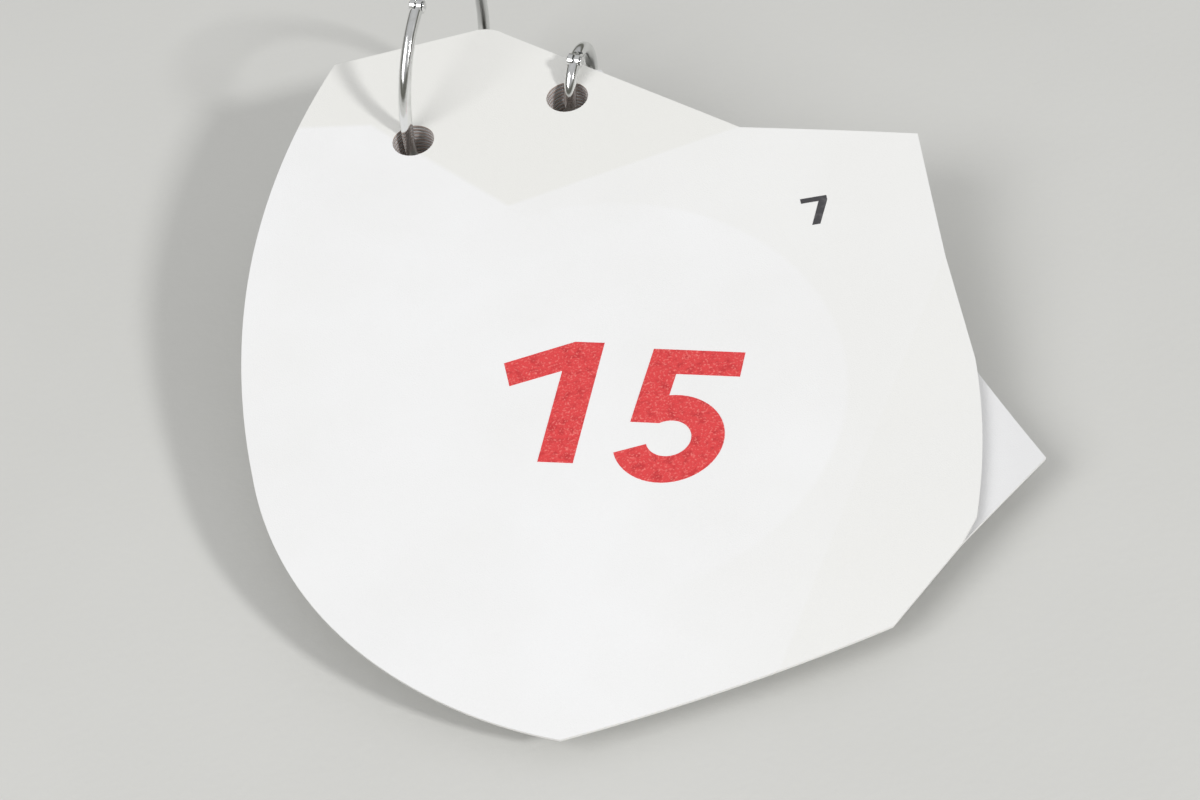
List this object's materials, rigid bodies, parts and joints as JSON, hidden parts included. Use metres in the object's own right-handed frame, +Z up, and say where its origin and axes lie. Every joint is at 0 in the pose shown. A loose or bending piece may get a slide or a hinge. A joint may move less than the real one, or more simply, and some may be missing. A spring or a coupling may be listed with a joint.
{
  "type": "ring calendar",
  "caption": "Loose-leaf ring calendar: irregular punched card leaves on one large and one small hinged wire ring.",
  "frame": {"origin": "centre of the calendar's box on the surface that it lies on", "axes": "+X along the line of the two punched holes, +Y up the leaves towards the rings, +Z up from the surface"},
  "size_m": [0.0994, 0.134, 0.0347],
  "materials": {
    "card": "matte white card",
    "ring_wire": "bright plated wire"
  },
  "bodies": {
    "back_leaf": {"leaf_9_back": "card"},
    "leaf_8": {"leaf_8": "card"},
    "leaf_7": {"leaf_7": "card"},
    "leaf_6": {"leaf_6": "card"},
    "leaf_5": {"leaf_5": "card"},
    "leaf_4": {"leaf_4": "card"},
    "leaf_3": {"leaf_3": "card"},
    "leaf_2": {"leaf_2": "card"},
    "front_leaf": {"leaf_1_front": "card"},
    "big_ring": {"big_ring_fixed_half": "ring_wire", "big_ring_hinge_rivet": "ring_wire"},
    "big_ring_gate": {"big_ring_gate": "ring_wire"},
    "small_ring": {"small_ring_fixed_half": "ring_wire", "small_ring_hinge_rivet": "ring_wire"},
    "small_ring_gate": {"small_ring_gate": "ring_wire"}
  },
  "joints": [
    {"name": "leaf_8_turn", "type": "hinge", "parent": "back_leaf", "child": "leaf_8", "pos_m": [-0.00771, 0.05122, 0.01728], "axis": [-0.8572, 0.5105, 0.068], "range_deg": [0, 7]},
    {"name": "leaf_7_turn", "type": "hinge", "parent": "leaf_8", "child": "leaf_7", "pos_m": [-0.00771, 0.05122, 0.01728], "axis": [-0.8572, 0.5105, 0.068], "range_deg": [0, 7]},
    {"name": "leaf_6_turn", "type": "hinge", "parent": "leaf_7", "child": "leaf_6", "pos_m": [-0.00771, 0.05122, 0.01728], "axis": [-0.8572, 0.5105, 0.068], "range_deg": [0, 7]},
    {"name": "leaf_5_turn", "type": "hinge", "parent": "leaf_6", "child": "leaf_5", "pos_m": [-0.00771, 0.05122, 0.01728], "axis": [-0.8572, 0.5105, 0.068], "range_deg": [0, 7]},
    {"name": "leaf_4_turn", "type": "hinge", "parent": "leaf_5", "child": "leaf_4", "pos_m": [-0.00771, 0.05122, 0.01728], "axis": [-0.8572, 0.5105, 0.068], "range_deg": [0, 7]},
    {"name": "leaf_3_turn", "type": "hinge", "parent": "leaf_4", "child": "leaf_3", "pos_m": [-0.00771, 0.05122, 0.01728], "axis": [-0.8572, 0.5105, 0.068], "range_deg": [0, 7]},
    {"name": "leaf_2_turn", "type": "hinge", "parent": "leaf_3", "child": "leaf_2", "pos_m": [-0.00771, 0.05122, 0.01728], "axis": [-0.8572, 0.5105, 0.068], "range_deg": [0, 7]},
    {"name": "front_leaf_turn", "type": "hinge", "parent": "leaf_2", "child": "front_leaf", "pos_m": [-0.00771, 0.05122, 0.01728], "axis": [-0.8572, 0.5105, 0.068], "range_deg": [0, 60]},
    {"name": "big_ring_turn", "type": "hinge", "parent": "back_leaf", "child": "big_ring", "pos_m": [-0.00882, 0.05189, 0.01737], "axis": [0.8572, -0.5105, -0.068], "range_deg": [-75, 40]},
    {"name": "big_ring_open", "type": "hinge", "parent": "big_ring", "child": "big_ring_gate", "pos_m": [-0.01087, 0.04638, 0.03279], "axis": [-0.8572, 0.5105, 0.068], "range_deg": [-60, 0]},
    {"name": "small_ring_turn", "type": "hinge", "parent": "back_leaf", "child": "small_ring", "pos_m": [0.00904, 0.04125, 0.01595], "axis": [0.8572, -0.5105, -0.068], "range_deg": [-40, 40]},
    {"name": "small_ring_open", "type": "hinge", "parent": "small_ring", "child": "small_ring_gate", "pos_m": [0.00868, 0.03997, 0.02089], "axis": [-0.8572, 0.5105, 0.068], "range_deg": [-60, 0]}
  ]
}
